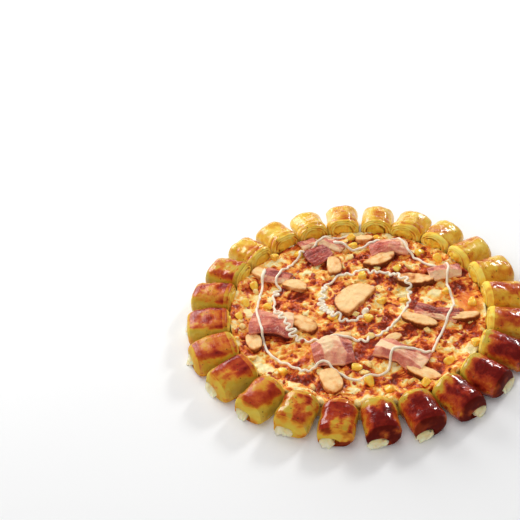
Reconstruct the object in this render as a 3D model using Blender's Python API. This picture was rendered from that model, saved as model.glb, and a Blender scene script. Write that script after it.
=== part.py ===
"""A pan pizza whose rim is a crown of stuffed dough rolls, in metres, +Z up.

The origin is the middle of the underside, and -Y is the front. A dough disc carries the cheese, and 24 rolls stand
round it on its edge. Slices of chicken and folds of ham lie in the cheese, with sweetcorn and two lines of mayonnaise.
"""

import math
import random

import bmesh
import bpy
from mathutils import Matrix, Vector, geometry, noise
from mathutils.bvhtree import BVHTree

MM = 0.001
SEED = 24
CLEARANCE = 0.35 * MM

# Dough disc: its edge is a rounded profile of radius and height, from the underside up.
BASE_SIDES = 44
BASE_THICKNESS = 9 * MM
BASE_PROFILE_MM = ((121.0, 0.0), (123.6, 1.8), (124.0, 4.5), (123.2, 7.4), (120.6, 9.0))

# Rolls: each station is its distance from the middle of the pizza, the heights of its top and foot,
# and its share of the full width. The foot steps down where the roll hangs over the edge of the disc.
ROLL_COUNT = 24
ROLL_WIDTH = 33 * MM
ROLL_SIDES = 10
ROLL_STEP_RADIUS = 125.5 * MM
ROLL_CENTRE_RADIUS = 141 * MM
ROLL_STATIONS_MM = (
    (118.7, 23.0, 10.4, 0.84),
    (121.2, 26.4, 9.35, 1.0),
    (125.1, 27.2, 9.35, 1.0),
    (125.5, 27.2, 0.0, 1.0),
    (153.0, 24.4, 0.0, 1.0),
    (159.0, 20.5, 0.0, 0.96),
    (160.5, 17.0, 0.6, 0.84),
)
FRONT_SHORTFALL = 8 * MM
BACK_SHORTFALL = 5 * MM
ROLL_SQUARENESS = 2.5
ROLL_RECESS = 3 * MM
ROLL_CORE_SHARE = 0.72
CHEESE_TONGUE = 3 * MM

# Cheese
CHEESE_RADIUS = 118.1 * MM
CHEESE_UNDERSIDE = BASE_THICKNESS + CLEARANCE
CHEESE_TOP = 13.6 * MM
CHEESE_EDGE_DROP = 1.2 * MM
CHEESE_EDGE_SIDES = 54
CHEESE_LATTICE = 15 * MM

# Chicken slices: across, along, length and depth in mm, turn in degrees, and how far the flatter side bows out
# as a share of the other side.
CHICKEN_THICKNESS = 7 * MM
CHICKEN_SIDES = 10
CHICKEN_SINK = 1.6 * MM
CHICKEN = (
    (-4, 18, 47, 28, 55, 0.2),
    (-21, 64, 27, 15, -88, 0.7),
    (24, 71, 36, 15, 211, 0.4),
    (55, 40, 44, 17, 173, 0.5),
    (57, -17, 38, 13, 156, 0.7),
    (99, -14, 29, 11, 189, 0.6),
    (55, -83, 36, 14, 151, 0.5),
    (-24, -90, 32, 19, -70, 0.6),
    (-94, -39, 23, 15, -71, 0.8),
    (-49, -16, 31, 16, -37, 0.7),
    (-58, 37, 24, 14, -20, 0.3),
    (-92, 57, 19, 14, -35, 0.8),
    (-15, -35, 20, 10, 9, 0.6),
    (31, -39, 17, 9, 26, 0.6),
    (9, 105, 18, 9, 2, 0.7),
)

# Folds of ham: across, along, length and width in mm, turn in degrees, and the height of the fold in mm.
HAM_THICKNESS = 2.8 * MM
HAM_SINK = 0.8 * MM
HAM_COLUMNS = 7
HAM_ROWS = 4
HAM_RIPPLE = 1.1 * MM
HAM = (
    (-36, 80, 25, 20, 38, 4.0),
    (-22, 97, 26, 13, -30, 4.5),
    (33, 89, 38, 20, 4, 7.0),
    (84, 50, 31, 17, 12, 7.0),
    (73, -7, 40, 17, -14, 3.0),
    (38, -61, 48, 25, -31, 9.0),
    (-23, -56, 37, 30, 12, 9.5),
    (-79, -18, 39, 29, -7, 7.0),
    (-76, 51, 28, 17, -20, 5.0),
    (-47, 101, 17, 12, 30, 3.0),
)

# Sweetcorn kernels: across and along in mm.
CORN_LENGTH = 8.5 * MM
CORN_SIDES = 5
CORN_SINK = 1.3 * MM
CORN = (
    (-80, 82), (-98, 39), (-84, 10), (-110, -5), (-105, 16), (-2, 97), (22, 107), (63, 83), (6, 50), (40, 60),
    (23, 14), (10, -9), (-2, -73), (9, -91), (-68, -75), (25, -101), (80, -67), (105, -47), (107, 9), (44, 14),
    (-23, -5), (-56, 85), (84, 24), (80, 72), (-4, 108), (57, -96),
)

# Mayonnaise: one line winds outwards clockwise from a fat blob, and a second one rings it the other way.
# Each place it passes is a distance from the middle in mm and a direction in degrees.
LINE_RADIUS = 1.5 * MM
LINE_SIDES = 5
LINE_STEP = 7 * MM
BLOB_RADIUS = 3.2 * MM
INNER_LINE = (
    (11, 23), (8, 290), (13, 239), (23, 189), (34, 166), (38, 148), (46, 130), (54, 104), (59, 67), (60, 39),
    (54, 23), (45, 2), (38, 335), (37, 303), (39, 270), (40, 250), (51, 228), (66, 213), (68, 199), (74, 184),
    (80, 170), (82, 158), (91, 143), (97, 125), (108, 108), (113, 92),
)
OUTER_LINE = (
    (107, 146), (97, 160), (94, 178), (92, 196), (96, 214), (91, 233), (84, 241), (76, 247), (84, 260), (88, 272),
    (82, 287), (69, 297), (76, 310), (87, 316), (82, 333), (84, 350), (90, 5), (91, 20), (104, 33), (95, 42),
    (97, 56), (111, 69), (101, 77), (91, 90), (99, 103),
)


def srgb(red, green, blue):
    """A colour given in the usual 0 to 255 steps, as linear light."""
    return tuple((channel / 255) ** 2.2 for channel in (red, green, blue))


def blend(first, second, share):
    return tuple(a + (b - a) * share for a, b in zip(first, second))


DOUGH = srgb(206, 172, 78)
BROWNED_DOUGH = srgb(122, 40, 22)
CHEESE = srgb(232, 160, 86)
CHICKEN_MEAT = srgb(236, 190, 134)
HAM_MEAT = srgb(196, 112, 104)


def clear_scene():
    for item in list(bpy.data.objects):
        bpy.data.objects.remove(item, do_unlink=True)


def finish_material(name, colour, roughness):
    material = bpy.data.materials.new(name)
    material.use_nodes = True
    shader = material.node_tree.nodes["Principled BSDF"]
    shader.inputs["Base Color"].default_value = (*colour, 1)
    shader.inputs["Roughness"].default_value = roughness
    shader.inputs["Metallic"].default_value = 0
    return material


def add_object(name, body, colour=CHEESE, roughness=0.5):
    """The bmesh body as a named object with a material of its own, all in triangles so that bent faces stay as cut."""
    bmesh.ops.recalc_face_normals(body, faces=body.faces)
    bmesh.ops.triangulate(body, faces=body.faces)
    mesh = bpy.data.meshes.new(name)
    body.to_mesh(mesh)
    body.free()
    mesh.materials.append(finish_material(name, colour, roughness))
    mesh.shade_smooth()
    mesh.set_sharp_from_angle(angle=math.radians(50))
    item = bpy.data.objects.new(name, mesh)
    bpy.context.scene.collection.objects.link(item)
    return item


def loft(rings, start, end):
    """A closed body through rings of points, closed at each end by a fan round a point, or flat where that is None."""
    body = bmesh.new()
    loops = [[body.verts.new(point) for point in ring] for ring in rings]
    for near, far in zip(loops, loops[1:]):
        for i in range(len(near)):
            j = (i + 1) % len(near)
            body.faces.new((near[i], near[j], far[j], far[i]))
    for loop, centre in ((loops[0], start), (loops[-1], end)):
        if centre is None:
            body.faces.new(loop)
            continue
        tip = body.verts.new(centre)
        for i in range(len(loop)):
            body.faces.new((loop[i], loop[(i + 1) % len(loop)], tip))
    return body


def settle(body, across, along, height, turn=0.0, tilt=0.0):
    """Turns a body about the vertical, tips it about its length and moves it to its place."""
    move = Matrix.Translation((across, along, height))
    spin = Matrix.Rotation(turn, 4, "Z") @ Matrix.Rotation(tilt, 4, "X")
    bmesh.ops.transform(body, matrix=move @ spin, verts=body.verts)
    return body


# Dough disc


def make_base():
    rings = []
    for radius, height in BASE_PROFILE_MM:
        turns = [2 * math.pi * side / BASE_SIDES for side in range(BASE_SIDES)]
        rings.append([Vector((radius * math.cos(t), radius * math.sin(t), height)) * MM for t in turns])
    body = loft(rings, None, None)
    return add_object("base", body, DOUGH, 0.6)


# Rolls


def roll_angle(index):
    """Its direction from the middle: even steps, drawn a little closer together on one side."""
    even = math.radians(96 - index * 360 / ROLL_COUNT)
    return even + math.radians(1.6) * math.cos(even - math.radians(320))


def browning(angle):
    """How dark the oven baked a roll: darkest at the front right, and nothing at the back."""
    return math.exp(-((math.degrees(angle) - 318 + 180) % 360 - 180) ** 2 / 38 ** 2)


def roll_section(half_width, top, foot):
    """Half-round over a flat foot: the points of a squared ellipse, as distances across and up."""
    points = []
    for side in range(ROLL_SIDES):
        turn = 2 * math.pi * (side + 0.5) / ROLL_SIDES
        across, up = math.cos(turn), math.sin(turn)
        across = math.copysign(abs(across) ** (2 / ROLL_SQUARENESS), across)
        up = math.copysign(abs(up) ** (2 / ROLL_SQUARENESS), up)
        points.append((half_width * across, max(foot, top * (0.46 + 0.56 * up))))
    return points


def make_roll(index):
    draw = random.Random(SEED + index)
    angle = roll_angle(index)
    outward = Vector((math.cos(angle), math.sin(angle), 0))
    sideways = Vector((-math.sin(angle), math.cos(angle), 0))
    left = math.tan((roll_angle(index - 1) - angle) / 2)
    right = math.tan((angle - roll_angle(index + 1)) / 2)
    width = ROLL_WIDTH * draw.uniform(0.95, 1.04)
    height = draw.uniform(0.95, 1.03)
    lean = math.tan(math.radians(draw.uniform(-3, 3)))

    def place(reach, across, up):
        """A point of the roll, kept on its own side of the planes between it and its neighbours."""
        across += (reach - ROLL_CENTRE_RADIUS) * lean
        across = min(across, reach * left - CLEARANCE)
        across = max(across, CLEARANCE - reach * right)
        return outward * reach + sideways * across + Vector((0, 0, up))

    length = ROLL_STATIONS_MM[-1][0] * MM - ROLL_STEP_RADIUS
    shortfall = (BACK_SHORTFALL if math.sin(angle) > 0 else FRONT_SHORTFALL) * math.sin(angle) ** 2
    stretch = draw.uniform(0.96, 1.04) - shortfall / length
    sections = []
    for radius, top, foot, share in ROLL_STATIONS_MM:
        reach = radius * MM
        if reach > ROLL_STEP_RADIUS:
            reach = ROLL_STEP_RADIUS + (reach - ROLL_STEP_RADIUS) * stretch
        sections.append((reach, roll_section(width / 2 * share, top * height * MM, foot * MM)))

    def filling_rim(reach, section, outward_sign, droop_side):
        """The rim of the filling: set back inside the dough, but drooping out over its lower lip on one side."""
        middle = sum(up for _, up in section) / len(section)
        points = []
        for across, up in section:
            low = max(0, (middle - up) / middle) * max(0, 0.4 + 0.9 * droop_side * across / width)
            shift = CHEESE_TONGUE * low * 2 - ROLL_RECESS * (1 - low)
            up = middle + (up - middle) * ROLL_CORE_SHARE
            points.append(place(reach + outward_sign * shift, across * ROLL_CORE_SHARE, up))
        return points, place(reach - outward_sign * ROLL_RECESS / 2, 0, middle)

    droop_side = draw.choice((-1, 1))
    inner_ring, inner_middle = filling_rim(*sections[0], -1, droop_side)
    outer_ring, outer_middle = filling_rim(*sections[-1], 1, droop_side)
    rings = [inner_ring]
    rings += [[place(reach, across, up) for across, up in section] for reach, section in sections]
    rings.append(outer_ring)
    body = loft(rings, inner_middle, outer_middle)
    colour = blend(DOUGH, BROWNED_DOUGH, browning(angle))
    return add_object(f"roll_{index + 1:02d}", body, colour, 0.35)


# Cheese


def cheese_height(across, along):
    """The top of the bare cheese: gentle swells with smaller bubbles, and lower towards its edge."""
    place = Vector((across, along, 0)) / MM
    swell = 0.8 * noise.noise(place / 26) + 0.7 * noise.noise(place / 9 + Vector((7, 3, 1)))
    edge = min(1, math.hypot(across, along) / CHEESE_RADIUS) ** 8
    return CHEESE_TOP + swell * MM - CHEESE_EDGE_DROP * edge


def cheese_lattice():
    """The edge of the cheese first, then points in a triangular lattice inside it, shaken a little."""
    draw = random.Random(SEED)
    turns = [2 * math.pi * side / CHEESE_EDGE_SIDES for side in range(CHEESE_EDGE_SIDES)]
    points = [Vector((math.cos(turn), math.sin(turn))) * CHEESE_RADIUS for turn in turns]
    row_height = CHEESE_LATTICE * math.sqrt(3) / 2
    rows = int(CHEESE_RADIUS / row_height) + 1
    columns = int(CHEESE_RADIUS / CHEESE_LATTICE) + 1
    for row in range(-rows, rows + 1):
        for column in range(-columns, columns + 1):
            across = (column + (row % 2) / 2) * CHEESE_LATTICE + draw.uniform(-1, 1) * MM
            along = row * row_height + draw.uniform(-1, 1) * MM
            if math.hypot(across, along) < CHEESE_RADIUS - CHEESE_LATTICE * 0.6:
                points.append(Vector((across, along)))
    return points


def make_bare_cheese():
    points = cheese_lattice()
    faces = geometry.delaunay_2d_cdt(points, [], [list(range(CHEESE_EDGE_SIDES))], 1, 0.01 * MM)[2]
    body = bmesh.new()
    top = [body.verts.new((*point, cheese_height(*point))) for point in points]
    for face in faces:
        body.faces.new([top[corner] for corner in face])
    bottom = [body.verts.new((*point, CHEESE_UNDERSIDE)) for point in points[:CHEESE_EDGE_SIDES]]
    for side in range(CHEESE_EDGE_SIDES):
        following = (side + 1) % CHEESE_EDGE_SIDES
        body.faces.new((bottom[side], bottom[following], top[following], top[side]))
    body.faces.new(bottom)
    return add_object("cheese", body, CHEESE, 0.45)


# Chicken


def make_chicken(index):
    across, along, length, depth, turn, flatness = CHICKEN[index]
    draw = random.Random(100 * SEED + index)
    bow = depth * MM / (1 + flatness)
    lumps = [draw.uniform(0.94, 1.05) for _ in range(CHICKEN_SIDES)]
    rings = []
    for share, height in ((0.88, 0.0), (1.0, 0.4), (0.96, 0.8), (0.82, 1.0)):
        ring = []
        for side in range(CHICKEN_SIDES):
            angle = 2 * math.pi * side / CHICKEN_SIDES
            reach = share * lumps[side]
            out = bow * math.sin(angle) * (1 if math.sin(angle) > 0 else flatness)
            out -= bow * (1 - flatness) / 2
            ring.append(Vector((length / 2 * MM * math.cos(angle) * reach, out * reach, height * CHICKEN_THICKNESS)))
        rings.append(ring)
    end = Vector((0, 0, CHICKEN_THICKNESS + 0.5 * MM))
    body = loft(rings, None, end)
    height = cheese_height(across * MM, along * MM) - CHICKEN_SINK
    settle(body, across * MM, along * MM, height, math.radians(turn), math.radians(draw.uniform(-5, 8)))
    return add_object(f"chicken_{index + 1:02d}", body, CHICKEN_MEAT, 0.5)


# Ham


def ham_top(length, width, rise, phase, u, v):
    """The top of a slice folded along a ridge; u and v run from -1 to 1 along and across it."""
    across = length / 2 * u * (1 - 0.07 * v * v)
    along = width / 2 * v * (1 - 0.12 * math.cos(2.4 * u + phase))
    ridge = rise * (1 - abs(v) ** 1.7) * (0.8 + 0.2 * math.cos(2.1 * u + phase))
    ripple = HAM_RIPPLE * math.sin(4.2 * u + 1.3 * v + phase)
    return Vector((across, along, HAM_SINK + HAM_THICKNESS + ridge + ripple))


def make_ham(index):
    """A folded slice, solid down to the flat side that lies in the cheese."""
    across, along, length, width, turn, rise = HAM[index]
    phase = random.Random(200 * SEED + index).uniform(0, 2 * math.pi)
    body = bmesh.new()
    grid = []
    for column in range(HAM_COLUMNS):
        u = 2 * column / (HAM_COLUMNS - 1) - 1
        turns = [2 * row / (HAM_ROWS - 1) - 1 for row in range(HAM_ROWS)]
        grid.append([body.verts.new(ham_top(length * MM, width * MM, rise * MM, phase, u, v)) for v in turns])
    for left, right in zip(grid, grid[1:]):
        for j in range(HAM_ROWS - 1):
            body.faces.new((left[j], right[j], right[j + 1], left[j + 1]))
    rim = [column[0] for column in grid] + grid[-1][1:-1]
    rim += [column[-1] for column in reversed(grid)] + grid[0][-2:0:-1]
    foot = [body.verts.new((corner.co.x, corner.co.y, 0)) for corner in rim]
    for i in range(len(rim)):
        j = (i + 1) % len(rim)
        body.faces.new((rim[i], foot[i], foot[j], rim[j]))
    body.faces.new(foot)
    height = cheese_height(across * MM, along * MM) - HAM_SINK
    settle(body, across * MM, along * MM, height, math.radians(turn))
    return add_object(f"ham_{index + 1:02d}", body, HAM_MEAT, 0.5)


# Sweetcorn and mayonnaise


def make_kernel(index):
    """A plump tooth-shaped kernel on its side, half sunk."""
    across, along = (value * MM for value in CORN[index])
    draw = random.Random(300 * SEED + index)
    rings = []
    for reach, half_width, half_height in ((-0.4, 0.2, 0.16), (0.0, 0.42, 0.32), (0.36, 0.36, 0.28)):
        turns = [2 * math.pi * side / CORN_SIDES for side in range(CORN_SIDES)]
        ring = [Vector((reach, half_width * math.cos(t), half_height * math.sin(t))) * CORN_LENGTH for t in turns]
        rings.append(ring)
    body = loft(rings, Vector((-0.5, 0, 0)) * CORN_LENGTH, Vector((0.5, 0, 0)) * CORN_LENGTH)
    height = cheese_height(across, along) + CORN_SINK
    settle(body, across, along, height, draw.uniform(0, 2 * math.pi), draw.uniform(-0.5, 0.5))
    return add_object(f"kernel_{index + 1:02d}", body)


def smooth_line(places):
    """Points at even steps along a smooth curve through the places."""
    knots = [Vector((math.cos(math.radians(turn)), math.sin(math.radians(turn)))) * reach * MM for reach, turn in places]
    knots = [2 * knots[0] - knots[1], *knots, 2 * knots[-1] - knots[-2]]
    fine = []
    for before, start, end, after in zip(knots, knots[1:], knots[2:], knots[3:]):
        for step in range(20):
            t = step / 20
            bend = (2 * before - 5 * start + 4 * end - after) * t * t + (3 * (start - end) + after - before) * t ** 3
            fine.append(start + ((end - before) * t + bend) / 2)
    points = [fine[0]]
    for point in fine:
        if (point - points[-1]).length >= LINE_STEP:
            points.append(point)
    return points


def lowest_free(spot, cheese, toppings):
    """How high the cheese reaches round a spot, or None where a topping is in the way."""
    heights = []
    for shift in ((0, 0), (1.6, 0), (-1.6, 0), (0, 1.6), (0, -1.6)):
        high = Vector((*(spot + Vector(shift) * LINE_RADIUS), 0.1))
        if toppings.ray_cast(high, Vector((0, 0, -1)))[0]:
            return None
        heights.append(cheese.ray_cast(high, Vector((0, 0, -1)))[0].z)
    return max(heights)


def make_bead(name, points, start_radius):
    """A round bead through the points, with rounded ends."""
    rings = []
    for i, point in enumerate(points):
        ahead = points[min(i + 1, len(points) - 1)] - points[max(i - 1, 0)]
        side = Vector((-ahead.y, ahead.x, 0)).normalized()
        up = ahead.cross(side).normalized()
        radius = start_radius + (LINE_RADIUS - start_radius) * min(1, i / 2)
        turns = [2 * math.pi * (step + 0.5) / LINE_SIDES for step in range(LINE_SIDES)]
        rings.append([point + (side * math.cos(t) + up * math.sin(t)) * radius for t in turns])
    first = points[0] + (points[0] - points[1]).normalized() * start_radius
    last = points[-1] + (points[-1] - points[-2]).normalized() * LINE_RADIUS
    return add_object(name, loft(rings, first, last))


def make_line(name, places, start_radius, cheese, toppings):
    """The line pressed into the cheese, as one bead for each stretch that is clear of the toppings."""
    runs = [[]]
    for spot in smooth_line(places):
        height = lowest_free(spot, cheese, toppings)
        if height is None:
            runs.append([])
        else:
            runs[-1].append(Vector((*spot, height + LINE_RADIUS * 0.5)))
    radii = [start_radius] + [LINE_RADIUS] * (len(runs) - 1)
    return [make_bead(name, run, radius) for run, radius in zip(runs, radii) if len(run) > 2]


# Fusing and fitting


def combine(target, others, operation):
    """Joins the others to the target, or cuts them out of it."""
    group = bpy.data.collections.new("others")
    for item in others:
        group.objects.link(item)
    modifier = target.modifiers.new(operation.lower(), "BOOLEAN")
    modifier.operation = operation
    modifier.operand_type = "COLLECTION"
    modifier.collection = group
    modifier.solver = "EXACT"
    modifier.material_mode = "INDEX"
    graph = bpy.context.evaluated_depsgraph_get()
    mesh = bpy.data.meshes.new_from_object(target.evaluated_get(graph))
    target.modifiers.clear()
    old = target.data
    target.data = mesh
    bpy.data.meshes.remove(old)
    bpy.data.collections.remove(group)
    keep_largest(target)


def keep_largest(item):
    """Drops every loose scrap but the largest closed body."""
    body = bmesh.new()
    body.from_mesh(item.data)
    unseen = set(body.verts)
    islands = []
    while unseen:
        stack = [unseen.pop()]
        island = set(stack)
        while stack:
            for edge in stack.pop().link_edges:
                for vertex in edge.verts:
                    if vertex in unseen:
                        unseen.remove(vertex)
                        island.add(vertex)
                        stack.append(vertex)
        islands.append(island)
    largest = max(islands, key=len)
    scraps = [vertex for island in islands if island is not largest for vertex in island]
    bmesh.ops.delete(body, geom=scraps, context="VERTS")
    body.to_mesh(item.data)
    body.free()


def swollen(item):
    """A copy grown by the clearance on every side."""
    body = bmesh.new()
    body.from_mesh(item.data)
    body.normal_update()
    shifts = [(vertex, vertex.normal * vertex.calc_shell_factor() * CLEARANCE) for vertex in body.verts]
    for vertex, shift in shifts:
        vertex.co += shift
    return add_object(item.name + "_swollen", body)


def surfaces_of(items):
    """All the faces of these objects, to find how high they reach at a place."""
    body = bmesh.new()
    for item in items:
        body.from_mesh(item.data)
    tree = BVHTree.FromBMesh(body)
    body.free()
    return tree


def build():
    clear_scene()
    make_base()
    for index in range(ROLL_COUNT):
        make_roll(index)
    cheese = make_bare_cheese()
    chicken = [make_chicken(index) for index in range(len(CHICKEN))]
    ham = [make_ham(index) for index in range(len(HAM))]
    grown = [swollen(item) for item in chicken + ham]
    for index, item in enumerate(ham):
        combine(item, grown[:len(chicken) + index], "DIFFERENCE")
    grounds = surfaces_of([cheese]), surfaces_of(grown)
    garnish = [make_kernel(index) for index in range(len(CORN))]
    garnish += make_line("inner_line", INNER_LINE, BLOB_RADIUS, *grounds)
    garnish += make_line("outer_line", OUTER_LINE, LINE_RADIUS, *grounds)
    combine(cheese, garnish, "UNION")
    combine(cheese, grown, "DIFFERENCE")
    for item in garnish + grown:
        bpy.data.objects.remove(item, do_unlink=True)


build()
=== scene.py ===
"""Looks of a pan pizza with a crown of stuffed dough rolls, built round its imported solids."""

import math
import random

import bpy
import numpy as np
from mathutils import Matrix, Vector, noise
from mathutils.bvhtree import BVHTree


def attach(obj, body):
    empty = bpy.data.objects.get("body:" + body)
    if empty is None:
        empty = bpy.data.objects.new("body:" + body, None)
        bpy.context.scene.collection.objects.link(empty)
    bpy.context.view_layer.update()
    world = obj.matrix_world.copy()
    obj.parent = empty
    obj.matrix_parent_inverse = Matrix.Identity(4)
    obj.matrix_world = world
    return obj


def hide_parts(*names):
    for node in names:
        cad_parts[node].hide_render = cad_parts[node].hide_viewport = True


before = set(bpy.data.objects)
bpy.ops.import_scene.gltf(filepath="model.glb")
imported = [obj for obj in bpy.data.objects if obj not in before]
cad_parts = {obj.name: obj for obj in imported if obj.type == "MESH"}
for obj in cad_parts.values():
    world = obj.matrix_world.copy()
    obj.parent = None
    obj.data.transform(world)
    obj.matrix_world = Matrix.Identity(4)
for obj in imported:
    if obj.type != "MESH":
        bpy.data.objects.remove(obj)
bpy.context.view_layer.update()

MM = 0.001
SEED = 24

# Cheese, as in the solids
CHEESE_RADIUS = 118.6
CHEESE_BOTTOM = 9.4
CHEESE_TOP = 13.6
CHEESE_EDGE_DROP = 1.2
CHEESE_CELLS = 270
CHEESE_CELL = 7.5

# Rolls, as in the solids: distance from the middle, heights of top and foot, and share of the full width, in mm
ROLL_COUNT = 24
ROLL_WIDTH = 33.0
ROLL_STEP_RADIUS = 125.5
ROLL_CENTRE_RADIUS = 141.0
ROLL_STATIONS = (
    (118.7, 23.0, 10.4, 0.84),
    (121.2, 26.4, 9.35, 1.0),
    (125.1, 27.2, 9.35, 1.0),
    (125.5, 27.2, 0.0, 1.0),
    (153.0, 24.4, 0.0, 1.0),
    (159.0, 20.5, 0.0, 0.96),
    (160.5, 17.0, 0.6, 0.84),
)
FRONT_SHORTFALL = 8.0
BACK_SHORTFALL = 5.0
ROLL_GAP = 0.35
ROLL_FOOT = 0.05
ROLL_STEP_FOOT = 9.4
ROLL_SIDES = 64

# Inner end of a roll: layers of dough, from deep inside out to the skin, as distance from the middle and share of size
INNER_COLLAR_REACH = 125.2
INNER_LAYERS = (
    (131.0, 0.5), (124.0, 0.57), (120.8, 0.6), (119.4, 0.63), (119.0, 0.68), (119.3, 0.735), (120.3, 0.765),
    (119.9, 0.8), (120.3, 0.85), (121.3, 0.88), (121.3, 0.915), (122.8, 0.965), (125.2, 1.0),
)
# Painted shade added to each layer's brown paint: darker deep inside the inner end and in the grooves between its
# layers
INNER_CREVICE_SHADE = (0.5, 0.5, 0.42, 0.2, 0.04, 0.0, 0.14, 0.3, 0.1, 0.0, 0.0, 0.0, 0.0)

# Outer end of a roll: the dough rounds over and leaves a low mouth, where cheese runs out
OUTER_CAP_REACH = 154.5
MOUTH_HEIGHT = 5.6
MOUTH_HALF_HEIGHT = 5.0
OUTER_CAP_RINGS = 12
GLAZE_FOOT = 6.0
BARE_LAYERS = 9
OPEN_ROLLS = range(3, 8)

# How dark each roll is baked, clockwise from the back
ROLL_BROWNING = (
    0.16, 0.17, 0.2, 0.2, 0.24, 0.34, 0.46, 0.64, 0.82, 0.84, 0.8, 0.88,
    0.78, 0.56, 0.42, 0.40, 0.42, 0.44, 0.42, 0.44, 0.30, 0.14, 0.10, 0.08,
)

GOLDEN_LIMIT = 0.3
SATIN_ROLLS = range(15, 20)
DARK_LIMIT = 0.6
WRINKLE_PITCH = 2.1

# Places where bubbles left a honeycomb in the cheese: across, along and radius in mm
HONEYCOMBS = ((-44, 12, 40), (-2, 62, 30), (-62, -46, 26), (-15, -75, 20), (62, -48, 18))

# Smooth oily patch of cheese: middle and half sizes in mm
POOL = (104.0, 4.0, 14.0, 24.0)

# Chicken slices: across, along, length, depth (mm), turn (degrees), bow of the flatter side, how browned
CHICKEN_THICKNESS = 7.0
CHICKEN_SINK = 1.6
CHICKEN = (
    (-4, 18, 47, 28, 55, 0.2, 0.1),
    (-21, 64, 27, 15, -88, 0.7, 0.25),
    (24, 71, 36, 15, 211, 0.4, 0.45),
    (55, 40, 44, 17, 173, 0.5, 0.75),
    (57, -17, 38, 13, 156, 0.7, 0.3),
    (99, -14, 29, 11, 189, 0.6, 0.3),
    (55, -83, 36, 14, 151, 0.5, 0.15),
    (-24, -90, 32, 19, -70, 0.6, 0.2),
    (-94, -39, 23, 15, -71, 0.8, 0.2),
    (-49, -16, 31, 16, -37, 0.7, 0.5),
    (-58, 37, 24, 14, -20, 0.3, 0.2),
    (-92, 57, 19, 14, -35, 0.8, 0.1),
    (-15, -35, 20, 10, 9, 0.6, 0.1),
    (31, -39, 17, 9, 26, 0.6, 0.1),
    (9, 105, 18, 9, 2, 0.7, 0.15),
)

# Folds of ham: across, along, length, width (mm), turn (degrees), height of the fold (mm), how dark, ribs (mm)
HAM_THICKNESS = 2.8
HAM_SINK = 0.8
# Painted light and shade on the facets of a fold, by row from its front edge: lighter on the front row, darker on the
# others
HAM_ROW_LIGHT_AND_SHADE = (-0.28, 0.16, 0.08)
HAM_EDGE = ((0.3, -0.25), (1.2, -0.4), (2.3, -0.2), (2.8, 1.4), (12.0, 2.6))
HAM = (
    (-36, 80, 25, 20, 38, 4.0, 0.6, 0.2),
    (-22, 97, 26, 13, -30, 4.5, 0.25, 0.2),
    (33, 89, 38, 20, 4, 7.0, 0.35, 0.1),
    (84, 50, 31, 17, 12, 7.0, 0.3, 0.1),
    (73, -7, 40, 17, -14, 3.0, 0.6, 0.3),
    (38, -61, 48, 25, -31, 9.0, 0.26, 0.1),
    (-23, -56, 37, 30, 12, 9.5, 0.32, 0.1),
    (-79, -18, 39, 29, -7, 7.0, 0.4, 0.12),
    (-76, 51, 28, 17, -20, 5.0, 0.55, 0.1),
    (-47, 101, 17, 12, 30, 3.0, 0.3, 0.1),
)

# Folds listed by number of the slice: heights of a net of five columns of four as shares of the fold's
# height, from its front edge to its back one, and how much darker each of its four columns of three cells is
# The darker and lighter cells are painted light and shade, following which facets of each fold face the light
HAM_FOLDS = {
    0: (((0.3, 0.6, 0.8, 0.6), (0.5, 0.8, 1.1, 0.9), (0.5, 0.8, 1.1, 0.9), (0.4, 0.7, 1.0, 0.8), (0.2, 0.5, 0.8, 0.6)),
        ((0.1, 0.1, 0.1), (0.15, 0.15, 0.1), (0.1, 0.15, 0.1), (0.0, 0.1, 0.05))),
    2: (((0.0, 0.3, 0.3, 0.0), (0.3, 0.8, 0.7, 0.3), (0.5, 1.0, 1.0, 0.6), (0.3, 0.7, 0.8, 0.4), (0.0, 0.1, 0.1, 0.0)),
        ((0.1, 0.15, 0.0), (0.15, 0.2, 0.05), (0.05, 0.0, -0.1), (-0.1, -0.25, -0.3))),
    5: (((0.05, 0.5, 0.45, 0.1), (0.3, 1.0, 0.8, 0.3), (0.35, 1.05, 0.75, 0.25), (0.1, 0.55, 0.6, 0.2),
         (0.05, 0.25, 0.3, 0.05)),
        ((0.05, -0.3, 0.1), (0.14, -0.25, 0.2), (0.18, 0.0, 0.28), (0.12, -0.15, 0.15))),
    6: (((0.1, 0.45, 0.5, 0.2), (0.15, 0.9, 1.0, 0.5), (0.2, 0.75, 1.05, 0.7), (0.1, 0.6, 0.9, 0.4), (0.0, 0.2, 0.3, 0.1)),
        ((0.18, 0.15, 0.1), (-0.05, -0.2, -0.35), (0.0, -0.1, -0.25), (0.2, 0.3, 0.1))),
    7: (((0.5, 0.8, 0.8, 0.5), (0.8, 1.0, 1.0, 0.7), (0.8, 1.0, 1.0, 0.8), (0.7, 0.9, 0.9, 0.7), (0.3, 0.5, 0.6, 0.4)),
        ((0.1, 0.0, 0.05), (0.2, 0.05, -0.05), (0.2, 0.1, -0.15), (0.15, -0.1, -0.4))),
}

# Sweetcorn: across and along in mm
CORN_LENGTH = 10.4
CORN = (
    (-80, 82), (-98, 39), (-84, 10), (-110, -5), (-105, 16), (-2, 97), (22, 107), (63, 83), (6, 50), (40, 60),
    (23, 14), (10, -9), (-2, -73), (9, -91), (-68, -75), (25, -101), (80, -67), (105, -47), (107, 9), (44, 14),
    (-23, -5), (-56, 85), (84, 24), (80, 72), (-4, 108), (57, -96),
)

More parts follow.
